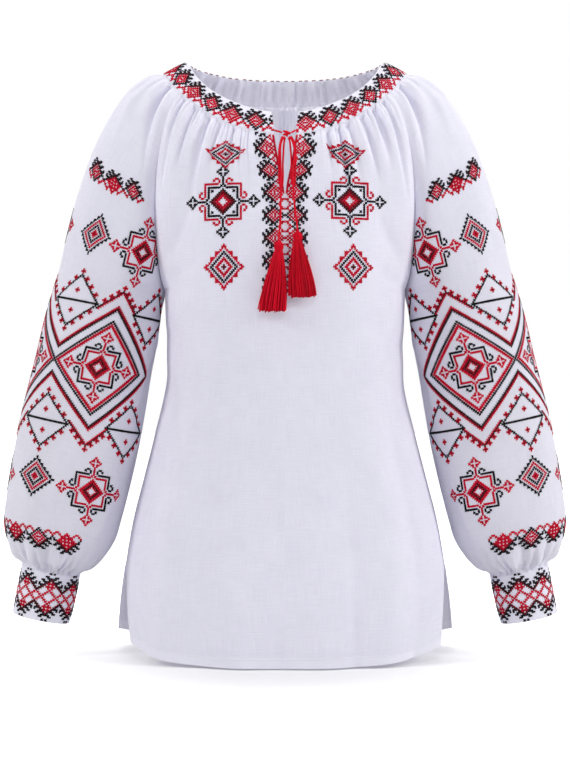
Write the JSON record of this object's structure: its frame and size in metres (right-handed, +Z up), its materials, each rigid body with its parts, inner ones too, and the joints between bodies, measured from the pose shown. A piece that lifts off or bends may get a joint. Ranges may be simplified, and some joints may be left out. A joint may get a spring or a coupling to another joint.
{
  "type": "vyshyvanka shirt",
  "caption": "Filled-out raglan folk shirt with a gathered round neck, tied front slit with tassels, full cuffed sleeves and side slits.",
  "frame": {"origin": "midway between the wearer's shoulders, at the height of the neckband's seam there, where the wearer holds the shirt", "axes": "+Z up as worn; the front faces -Y; +X is the wearer's left"},
  "size_m": [0.6574, 0.2696, 0.6942],
  "materials": {
    "white_linen": "matte",
    "red_cord": "matte"
  },
  "bodies": {
    "root": {"front": "white_linen", "back": "white_linen", "sleeve_right": "white_linen", "sleeve_left": "white_linen", "cuff_right": "white_linen", "cuff_left": "white_linen", "neckband": "white_linen", "knot": "red_cord", "tie_right": "red_cord", "tie_left": "red_cord", "loop_right": "red_cord", "loop_left": "red_cord", "tail_right": "red_cord", "tail_left": "red_cord", "tassel_right": "red_cord", "tassel_left": "red_cord"}
  },
  "joints": []
}
